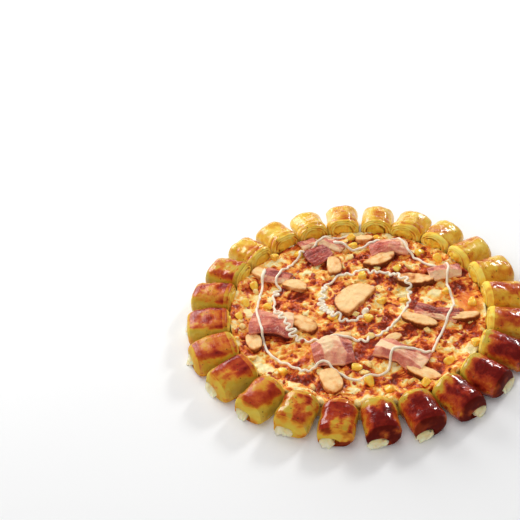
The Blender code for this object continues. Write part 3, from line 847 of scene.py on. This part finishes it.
def roll_core(roll):
    """The filling that shows inside the arch of the inner end."""
    half = roll.width / 2
    up = 16.4
    return ((132, 0, up, 0.44 * half, 5.4), (123, 0, up, 0.56 * half, 6.8), (120.6, 0, up, 0.565 * half, 6.8),
            (119.5, 0, up, 0.54 * half, 6.4), (118.8, 0, up, 0.46 * half, 5.4), (118.4, 0, up, 0.32 * half, 3.7),
            (118.2, 0, up, 0.16 * half, 1.8))


def roll_tongue(roll, size):
    """Cheese that slopes out of one side of the mouth of the outer end and down to the ground."""
    across = roll.mouth_side * (0.3 - 0.1 * size) * roll.width
    wide = 8.2 * size
    tall = 5.1 * (1.3 - 0.3 * size)
    return ((150, across, 5.0, 5.0, 4.0), (156, across, 5.4, 0.92 * wide, tall), (159.0, across, 5.4, wide, tall),
            (160.4, across, 4.9, wide, 0.94 * tall), (161.4, across, 4.0, 0.9 * wide, 0.8 * tall),
            (162.1, across, 3.0, 0.72 * wide, 0.58 * tall), (162.7, across, 2.0, 0.5 * wide, 0.38 * tall),
            (163.1, across, 1.3, 0.3 * wide, 0.2 * tall), (163.3, across, 1.0, 0.12 * wide, 0.1 * tall))


def roll_blob(roll):
    """A little white cheese that has run out under the arch of the inner end."""
    across = 0.12 * roll.width * roll.mouth_side
    return ((125, across, 11.6, 5.0, 1.6), (121, across, 12.0, 6.2, 2.2), (119, across, 12.2, 6.4, 2.5),
            (117.8, across, 12.2, 5.4, 2.2), (117.2, across, 12.1, 3.4, 1.4), (117.0, across, 12.0, 1.4, 0.6))


def make_roll(index, dough, core, white, bare):
    roll = RollFrame(index)
    draw = random.Random(500 * SEED + index)
    points, faces, brown, wrinkle = roll_dough(roll, index)
    last = len(points) - 2 - OUTER_CAP_RINGS * ROLL_SIDES
    slots = []
    first = ROLL_SIDES * (len(INNER_LAYERS) if index in OPEN_ROLLS else BARE_LAYERS)
    for face in faces:
        outer = face[0] >= last or points[list(face), 2].mean() < GLAZE_FOOT
        slots.append(3 if face[0] < first else 4 if outer else 0)
    bodies = [(1, roll_filling(roll, roll_core(roll))), (2, roll_filling(roll, roll_tongue(roll, draw.uniform(0.6, 1.15))))]
    if draw.random() < 0.4:
        bodies.append((2, roll_filling(roll, roll_blob(roll))))
    for slot, (more_points, more_faces) in bodies:
        count = len(points)
        points = np.concatenate([points, more_points])
        faces = faces + [tuple(count + corner for corner in face) for face in more_faces]
        slots += [slot] * len(more_faces)
        reach = np.linalg.norm(more_points[:, :2], axis=1)
        brown = np.concatenate([brown, step_between(164, 158, reach) * step_between(1, 10, more_points[:, 2])])
    wrinkle = np.concatenate([wrinkle, np.zeros(len(points) - len(wrinkle))])
    values = {"brown": brown, "wrinkle": wrinkle}
    item = add_piece(f"roll_{index + 1:02d}_baked", points, faces, [dough, core, white, *bare], values, slots)
    face_outward(item)
    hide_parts(f"roll_{index + 1:02d}")
    return item


# Chicken


def turned(points, across, along, height, turn, tilt=0.0):
    """Points in mm turned about the vertical after being tipped about their length, and moved to their place."""
    matrix = Matrix.Rotation(math.radians(turn), 3, "Z") @ Matrix.Rotation(tilt, 3, "X")
    return points @ np.array(matrix).T + np.array((across, along, height))


def boxed(share):
    """Pushes the round outline of a slice out into its corners a little."""
    return np.sign(share) * np.abs(share) ** 0.85


def make_chicken(index, material):
    across, along, length, depth, turn, flatness, browned = CHICKEN[index]
    draw = random.Random(100 * SEED + index)
    bow = depth / (1 + flatness)
    knots = [draw.uniform(0.9, 1.06) for _ in range(10)]
    tilt = math.radians(draw.uniform(-5, 8))
    sides = 84
    turns = 2 * math.pi * np.arange(sides) / sides
    lumps = np.interp(np.arange(sides) / sides * 10, np.arange(11), knots + knots[:1])
    profile = [(0.9, 0.0), (0.95, 0.12), (0.985, 0.28), (1.0, 0.45), (0.998, 0.64), (0.985, 0.8), (0.96, 0.91),
               (0.92, 0.97), (0.84, 0.995), (0.7, 1.0), (0.52, 1.015), (0.34, 1.03), (0.16, 1.04)]
    points = []
    brown = []
    plump = length < 2.2 * depth
    end_reach = boxed(np.cos(turns)) if plump else np.cos(turns)
    side_reach = boxed(np.sin(turns)) if plump else np.sin(turns)
    for share, level in profile:
        reach = share * lumps
        out = bow * side_reach * np.where(np.sin(turns) > 0, 1, flatness) - bow * (1 - flatness) / 2
        ring = np.stack([length / 2 * end_reach * reach, out * reach, np.full(sides, level * CHICKEN_THICKNESS)], 1)
        points.append(ring)
        skin = 0.7 + 0.3 * np.sin(turns)
        rim = 0.34 * step_between(0.72, 0.97, share)
        brown.append(skin * (0.65 * (1 - step_between(0.75, 0.97, level)) + rim))
    points = np.concatenate(points + [[(0, 0, 0)], [(0, -bow * (1 - flatness) / 2 * 0.1, CHICKEN_THICKNESS * 1.045)]])
    brown = np.concatenate(brown + [[0.4], [0.0]])
    seed = 40 + index * 2.3
    fibres = points * np.array((0.35, 1, 1))
    top = step_between(0.5, 0.95, points[:, 2] / CHICKEN_THICKNESS)
    points[:, 2] += top * (0.55 * fuzz(points, 9, seed) + 0.28 * fuzz(fibres, 2.0, seed + 1))
    sideways = points[:, :2] / np.maximum(np.linalg.norm(points[:, :2], axis=1), 1)[:, None]
    points[:, :2] += sideways * ((1 - top) * (0.35 * fuzz(points, 3.2, seed + 2)))[:, None]
    brown = brown + browned * (0.45 + 0.5 * fuzz(points, 8, seed + 3, 2)) + 0.12 * fuzz(points, 3, seed + 4)
    height = cheese_height(across, along) - CHICKEN_SINK
    points = turned(points, across, along, height, turn, tilt)
    name = f"chicken_{index + 1:02d}_cooked"
    faces = ring_faces(len(profile), sides)
    item = add_piece(name, points, faces, material, {"brown": np.clip(brown, 0, 1)})
    face_outward(item)
    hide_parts(f"chicken_{index + 1:02d}")
    return item


# Ham


def ham_facets(rise, draw, fold):
    """A coarse net of creased facets over the slice, as a tree to measure and the painted light and shade of each
    facet.
    """
    heights, fold_light_and_shade = fold or (None, None)
    columns = (-1.0, -0.55, 0.0, 0.5, 1.0)
    rows = (-1.0, -0.4, 0.35, 1.0)
    points = []
    for column, u in enumerate(columns):
        for row, v in enumerate(rows):
            inner_u = 0 < column < len(columns) - 1
            inner_v = 0 < row < len(rows) - 1
            shift_u = draw.uniform(-0.14, 0.14) if inner_u else 0.0
            shift_v = draw.uniform(-0.14, 0.14) if inner_v else 0.0
            level = draw.uniform(0.8, 1.1) if inner_v else draw.uniform(0.0, 0.3)
            if not inner_u:
                level *= 0.75
            if heights:
                level = heights[column][row]
            margin = 1.1
            points.append(((u + shift_u) * margin, (v + shift_v) * margin, level * rise))
    triangles = []
    facet_light_and_shade = []
    for column in range(len(columns) - 1):
        for row in range(len(rows) - 1):
            low = column * len(rows) + row
            corners = (low, low + len(rows), low + len(rows) + 1, low + 1)
            split = draw.random() < 0.5
            first = (0, 1, 2) if split else (0, 1, 3)
            second = (0, 2, 3) if split else (1, 2, 3)
            for triangle in (first, second):
                triangles.append(tuple(corners[corner] for corner in triangle))
                tone = HAM_ROW_LIGHT_AND_SHADE[row] + draw.uniform(-0.2, 0.2)
                facet_light_and_shade.append(fold_light_and_shade[column][row] if fold_light_and_shade else tone)
    return BVHTree.FromPolygons(points, triangles), facet_light_and_shade


def softened(values, rounds):
    """A grid of values with each one drawn towards its four neighbours, so that creases are a little round."""
    for _ in range(rounds):
        wide = np.pad(values, 1, mode="edge")
        values = (values * 2 + wide[:-2, 1:-1] + wide[2:, 1:-1] + wide[1:-1, :-2] + wide[1:-1, 2:]) / 6
    return values


def make_ham(index, material):
    across, along, length, width, turn, rise, darkness, ribs = HAM[index]
    phase = random.Random(200 * SEED + index).uniform(0, 2 * math.pi)
    tree, facet_light_and_shade = ham_facets(rise, random.Random(400 * SEED + index), HAM_FOLDS.get(index))
    columns, rows = 71, 49
    u = np.repeat(np.linspace(-1, 1, columns), rows)
    v = np.tile(np.linspace(-1, 1, rows), columns)
    seed = 80 + index * 3.1
    sheet = np.stack([u * length / 2, v * width / 2, np.zeros_like(u)], 1)
    x = length / 2 * u * (1 - 0.07 * v * v) + 0.7 * fuzz(sheet, 9, seed)
    y = width / 2 * v * (1 - 0.12 * np.cos(2.4 * u + phase)) + 0.7 * fuzz(sheet, 9, seed + 1)
    hits = [tree.ray_cast(Vector((a, b, 50)), Vector((0, 0, -1))) for a, b in zip(u, v)]
    ridge = np.array([hit[0].z for hit in hits]).reshape(columns, rows)
    facet = np.array([facet_light_and_shade[hit[2]] for hit in hits]).reshape(columns, rows)
    ridge = softened(ridge, 2).ravel()
    facet = softened(facet, 2).ravel()
    waves = ribs * np.sin(v * width / 2 * 2 * math.pi / 3.4 + 2.6 * fuzz(sheet, 10, seed + 2))
    fine = 0.6 * fuzz(sheet * np.array((0.7, 1, 1)), 4, seed + 3) + 0.14 * fuzz(sheet, 1.5, seed + 4)
    z = np.maximum(HAM_SINK + HAM_THICKNESS + ridge + waves + fine, HAM_SINK + 1.6)
    top = np.stack([x, y, z], 1)
    grid = np.arange(columns * rows).reshape(columns, rows)
    rim = [*grid[:, 0], *grid[-1, 1:-1], *grid[::-1, -1], *grid[0, -2:0:-1]]
    faces = []
    for i in range(columns - 1):
        for j in range(rows - 1):
            faces.append((grid[i, j], grid[i + 1, j], grid[i + 1, j + 1], grid[i, j + 1]))
    edge = top[rim]
    inward = edge * np.array((-1, -1, 0))
    inward = inward / np.maximum(np.linalg.norm(inward, axis=1), 1)[:, None]
    layers = [top]
    previous = rim
    count = len(top)
    for drop, inset in HAM_EDGE:
        ring = edge + inward * inset
        ring[:, 2] = np.maximum(edge[:, 2] - drop, 0.0)
        layers.append(ring)
        current = list(range(count, count + len(rim)))
        for a in range(len(rim)):
            b = (a + 1) % len(rim)
            faces.append((previous[a], current[a], current[b], previous[b]))
        previous = current
        count += len(rim)
    faces.append(previous)
    # The ham's own darkness and mottling, with the painted light and shade of its facets, and its ribs a little lighter
    # on their crests
    dark = darkness + 1.2 * facet + 0.1 * fuzz(sheet, 9, seed + 5, 2) - 0.2 * waves
    # The cut edge is painted lighter at its top as a painted highlight and darker towards its underside as painted
    # shade
    dark = np.concatenate([dark] + [dark[rim] + shade for shade in (-0.15, -0.15, -0.05, 0.2, 0.3)])
    height = cheese_height(across, along) - HAM_SINK
    points = turned(np.concatenate(layers), across, along, height, turn)
    item = add_piece(f"ham_{index + 1:02d}_folded", points, faces, material, {"dark": np.clip(dark, 0, 1)})
    face_outward(item)
    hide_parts(f"ham_{index + 1:02d}")
    return item


# Small things on top


class Ground:
    """Finds how high the pizza reaches at a place, in mm."""

    def __init__(self, items):
        self.tree = toppings_tree(items)

    def height(self, across, along):
        hit = self.tree.ray_cast(Vector((across, along, 100)), Vector((0, 0, -1)))
        return hit[0].z if hit[0] else CHEESE_TOP

    def normal(self, across, along):
        hit = self.tree.ray_cast(Vector((across, along, 100)), Vector((0, 0, -1)))
        return hit[1] if hit[0] else Vector((0, 0, 1))


def pebble(shape, sides, rings, place, matrix):
    """Points and faces of a closed rounded body given by a function of latitude and longitude."""
    points = [shape(0.0, 0.0)]
    for ring in range(1, rings):
        for side in range(sides):
            points.append(shape(math.pi * ring / rings, 2 * math.pi * side / sides))
    points.append(shape(math.pi, 0.0))
    points = np.array(points) @ np.array(matrix).T + np.array(place)
    faces = [(0, 1 + side, 1 + (side + 1) % sides) for side in range(sides)]
    for ring in range(rings - 2):
        low = 1 + ring * sides
        for side in range(sides):
            following = (side + 1) % sides
            faces.append((low + side, low + sides + side, low + sides + following, low + following))
    last = 1 + (rings - 2) * sides
    faces += [(last + (side + 1) % sides, last + side, len(points) - 1) for side in range(sides)]
    return points, faces


def join(bodies):
    """Many bodies as one list of points and one of faces."""
    points = []
    faces = []
    count = 0
    for body_points, body_faces in bodies:
        points.append(body_points)
        faces += [tuple(count + corner for corner in face) for face in body_faces]
        count += len(body_points)
    return np.concatenate(points), faces


def make_corn(material, ground):
    bodies = []
    for index, (across, along) in enumerate(CORN):
        draw = random.Random(300 * SEED + index)
        size = CORN_LENGTH * draw.uniform(0.88, 1.08)
        dimple = draw.uniform(0.0, 0.12)

        def kernel(polar, turn):
            """A plump tooth: wide and flat at the crown, narrow at the root."""
            reach = math.cos(polar)
            girth = math.sin(polar) ** 0.6 * (0.78 + 0.26 * reach)
            crown = -dimple * math.exp(-((polar / 0.7) ** 2))
            square = (abs(math.cos(turn)) ** 5 + abs(math.sin(turn)) ** 5) ** (-1 / 5)
            return (size * (0.5 * reach + crown), size * 0.43 * girth * math.cos(turn) * square,
                    size * 0.34 * girth * math.sin(turn) * square)

        turn = Matrix.Rotation(draw.uniform(0, 2 * math.pi), 3, "Z") @ Matrix.Rotation(draw.uniform(-0.45, 0.3), 3, "Y")
        turn = turn @ Matrix.Rotation(draw.uniform(-0.5, 0.5), 3, "X")
        height = ground.height(across, along) + size * 0.16
        bodies.append(pebble(kernel, 24, 16, (across, along, height), turn))
    points, faces = join(bodies)
    item = add_piece("sweetcorn", points, faces, material)
    face_outward(item)
    return item


def scattered(count, seed, spacing, avoid=None):
    """Places on the cheese, no two closer than the spacing."""
    draw = random.Random(seed)
    places = []
    while len(places) < count:
        reach = (CHEESE_RADIUS - 4) * math.sqrt(draw.random())
        turn = draw.uniform(0, 2 * math.pi)
        spot = (reach * math.cos(turn), reach * math.sin(turn))
        if all(math.dist(spot, other) > spacing for other in places):
            places.append(spot)
    return places


def make_bits(name, count, seed, size, thickness, sunk, material, ground, sides=10, rings=7):
    """Small irregular bits, each half sunk and leaning with what it lies on."""
    bodies = []
    for index, (across, along) in enumerate(scattered(count, seed, size[0] * 0.8)):
        draw = random.Random(seed * 1000 + index)
        length = draw.uniform(*size)
        width = length * draw.uniform(0.5, 0.9)
        deep = thickness * draw.uniform(0.7, 1.3)
        phase = draw.uniform(0, 50)

        def bit(polar, turn):
            lump = 1 + 0.55 * noise.noise(Vector((math.cos(turn) * 1.3 + phase, math.sin(turn) * 1.3, math.cos(polar))))
            girth = math.sin(polar) ** 0.6 * lump
            return (length / 2 * girth * math.cos(turn), width / 2 * girth * math.sin(turn), deep / 2 * math.cos(polar) * lump)

        lean = Vector((0, 0, 1)).rotation_difference(ground.normal(across, along)).to_matrix()
        turn = lean @ Matrix.Rotation(draw.uniform(0, 2 * math.pi), 3, "Z") @ Matrix.Rotation(draw.uniform(-0.35, 0.35), 3, "X")
        height = ground.height(across, along) + deep * (0.5 - sunk)
        bodies.append(pebble(bit, sides, rings, (across, along, height), turn))
    points, faces = join(bodies)
    item = add_piece(name, points, faces, material)
    face_outward(item)
    return item


def line_path(places):
    """Even steps along a smooth curve through the places, with its wriggles."""
    knots = [Vector((r * math.cos(math.radians(a)), r * math.sin(math.radians(a)), w)) for r, a, w in places]
    knots = [2 * knots[0] - knots[1], *knots, 2 * knots[-1] - knots[-2]]
    fine = []
    for before, start, end, after in zip(knots, knots[1:], knots[2:], knots[3:]):
        for step in range(60):
            t = step / 60
            bend = (2 * before - 5 * start + 4 * end - after) * t * t + (3 * (start - end) + after - before) * t ** 3
            fine.append(start + ((end - before) * t + bend) / 2)
    path = [fine[0]]
    for point in fine:
        if (point.xy - path[-1].xy).length >= LINE_STEP:
            path.append(point)
    return path


def make_line(name, places, blob, material, ground, seed):
    """A bead of mayonnaise that lies over everything, sags a little between high spots and wriggles sideways."""
    path = line_path(places)
    phase = 0.0
    spots = []
    for index, point in enumerate(path):
        ahead = path[min(index + 1, len(path) - 1)].xy - path[max(index - 1, 0)].xy
        side = Vector((-ahead.y, ahead.x)).normalized()
        hurry = 1 + 1.1 * noise.noise(Vector((index * 0.06, seed * 3.3, 9)))
        phase += 2 * math.pi * LINE_STEP / WRIGGLE_PITCH * hurry * (0.85 + 0.14 * max(point.z, 0))
        reach = max(point.z, 0) * max(0.15, 0.95 + 1.5 * noise.noise(Vector((index * 0.045, seed * 7.1, 2))))
        sway = reach * math.sin(phase)
        along = -0.16 * reach * math.sin(2 * phase)
        spots.append(point.xy + side * sway + ahead.normalized() * along)
    heights = np.array([ground.height(spot.x, spot.y) for spot in spots])
    window = 4
    padded = np.pad(heights, window, mode="edge")
    high = np.array([padded[i:i + 2 * window + 1].max() for i in range(len(heights))])
    padded = np.pad(high, window, mode="edge")
    smooth = np.array([padded[i:i + 2 * window + 1].mean() for i in range(len(heights))])
    sides = 12
    rings = []
    centres = [Vector((spot.x, spot.y, lift + LINE_RADIUS * 0.25)) for spot, lift in zip(spots, smooth)]
    for index, centre in enumerate(centres):
        ahead = centres[min(index + 1, len(centres) - 1)] - centres[max(index - 1, 0)]
        side = Vector((-ahead.y, ahead.x, 0)).normalized()
        up = ahead.cross(side).normalized()
        wobble = 1 + 0.16 * noise.noise(Vector((index * 0.11, seed, 0))) + 0.1 * noise.noise(Vector((index * 0.4, seed, 5)))
        start = index * LINE_STEP
        finish = (len(centres) - 1 - index) * LINE_STEP
        radius = LINE_RADIUS * wobble
        radius *= 1 + (blob - 1) * math.exp(-((start - 3) / 4.5) ** 2) + 0.5 * math.exp(-((finish - 2) / 2.5) ** 2)
        radius *= math.sqrt(min(1, (start + 0.15) / 2.2)) * math.sqrt(min(1, (finish + 0.15) / 1.6))
        turns = [2 * math.pi * step / sides for step in range(sides)]
        rings.append([centre + (side * math.cos(t) + up * math.sin(t)) * radius for t in turns])
    points = [tuple(point) for ring in rings for point in ring] + [tuple(centres[0]), tuple(centres[-1])]
    item = add_piece(name, points, ring_faces(len(rings), sides), material)
    face_outward(item)
    return item


# Stage


def make_floor():
    look = Surface("pale_floor", 0.7, 0.2)
    look.colour(look.ramp(look.noise(400, 1), ((0.3, (246, 246, 246)), (0.7, (250, 250, 250)))))
    mesh = bpy.data.meshes.new("floor")
    size = 4
    mesh.from_pydata([(-size, -size, 0), (size, -size, 0), (size, size, 0), (-size, size, 0)], [], [(0, 1, 2, 3)])
    mesh.materials.append(look.material)
    floor = bpy.data.objects.new("floor", mesh)
    bpy.context.scene.collection.objects.link(floor)


def add_light(name, place, size, power, colour=(1, 1, 1)):
    data = bpy.data.lights.new(name, "AREA")
    data.shape = "RECTANGLE"
    data.size, data.size_y = size
    data.energy = power
    data.color = colour
    light = bpy.data.objects.new(name, data)
    light.location = place
    light.rotation_euler = (Vector((0, 0, 0)) - Vector(place)).to_track_quat("-Z", "Y").to_euler()
    bpy.context.scene.collection.objects.link(light)
    return light


def make_lights():
    """A soft box overhead, a weak fill in front, and three lights behind that the glaze reflects."""
    overhead = add_light("overhead", (-0.4, 0.4, 1.85), (2.2, 1.8), 18.4)
    overhead.visible_glossy = False
    front = add_light("front_fill", (-0.3, -1.7, 1.1), (1.6, 1.0), 13)
    front.visible_glossy = False
    add_light("back_left", (-0.74, 0.74, 0.48), (0.6, 0.6), 7.5)
    add_light("back_strip", (-0.2, 1.7, 0.5), (1.8, 0.1), 4)
    add_light("back_right", (0.8, 1.15, 0.85), (0.26, 0.26), 10)
    world = bpy.data.worlds.new("studio")
    world.use_nodes = True
    world.node_tree.nodes["Background"].inputs["Color"].default_value = (1, 1, 1, 1)
    world.node_tree.nodes["Background"].inputs["Strength"].default_value = 0.1
    bpy.context.scene.world = world


def make_camera():
    """Aims the camera by turning it in steps: down, sideways, up again and about its own axis."""
    elevation, yaw, pitch, roll = (
        math.radians(a) for a in (CAMERA_ELEVATION, CAMERA_YAW, CAMERA_PITCH, CAMERA_ROLL)
    )
    ahead = Vector((0, math.cos(elevation), -math.sin(elevation)))
    right = Vector((1, 0, 0))
    up = Vector((0, math.sin(elevation), math.cos(elevation)))
    ahead, right = ahead * math.cos(yaw) + right * math.sin(yaw), right * math.cos(yaw) - ahead * math.sin(yaw)
    ahead, up = ahead * math.cos(pitch) + up * math.sin(pitch), up * math.cos(pitch) - ahead * math.sin(pitch)
    right, up = right * math.cos(roll) + up * math.sin(roll), up * math.cos(roll) - right * math.sin(roll)
    data = bpy.data.cameras.new("camera")
    data.sensor_width = 36
    data.lens = CAMERA_LENS
    data.clip_start = 0.01
    camera = bpy.data.objects.new("camera", data)
    turn = Matrix((right, up, -ahead)).transposed()
    camera.matrix_world = Matrix.Translation(CAMERA_PLACE) @ turn.to_4x4()
    bpy.context.scene.collection.objects.link(camera)
    bpy.context.scene.camera = camera


def dress_base():
    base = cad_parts["base"]
    base.data.materials.clear()
    base.data.materials.append(base_material())


def build():
    dress_base()
    golden = dough_material("golden_dough", 0.7, 0.14, 0.15, 0.4, 0.4)
    satin = dough_material("satin_dough", 0.25, 0.25, 0.7, 0.5, 0.4)
    brown = dough_material("browned_dough", 0.65, 0.05, 0.8, 0.8, 0.8)
    bare = (crumb_material("inner_dough", 0.0), crumb_material("outer_dough", 0.7))
    core, white = core_material(), white_cheese_material()
    for index, baked in enumerate(ROLL_BROWNING):
        glaze = golden if baked < GOLDEN_LIMIT or index in OPEN_ROLLS else brown
        glaze = satin if index in SATIN_ROLLS else glaze
        make_roll(index, glaze, core, white, bare)
    meat = chicken_material()
    chicken = [make_chicken(index, meat) for index in range(len(CHICKEN))]
    slices = ham_material()
    ham = [make_ham(index, slices) for index in range(len(HAM))]
    cheese = make_cheese(cheese_material(), toppings_tree(chicken + ham))
    ground = Ground([cheese, *chicken, *ham])
    bare = Ground([cheese])
    corn = make_corn(corn_material(), ground)
    make_bits("bacon_bits", BACON_BITS, 5, (3.0, 7.0), 2.4, 0.3, bacon_material(), bare)
    make_bits("onion_bits", ONION_BITS, 6, (6.0, 10.5), 2.6, 0.15, onion_material(), bare)
    make_bits("herb_flecks", HERB_FLECKS, 7, (0.7, 1.6), 0.4, 0.1, herb_material(), bare, 6, 4)
    over = Ground([cheese, *chicken, *ham, corn])
    sauce = mayonnaise_material()
    make_line("mayonnaise_inner", INNER_LINE, 2.3, sauce, over, 1)
    make_line("mayonnaise_outer", OUTER_LINE, 1.5, sauce, over, 2)
    make_floor()
    make_lights()
    make_camera()


build()
bpy.context.scene.view_settings.view_transform = "Standard"
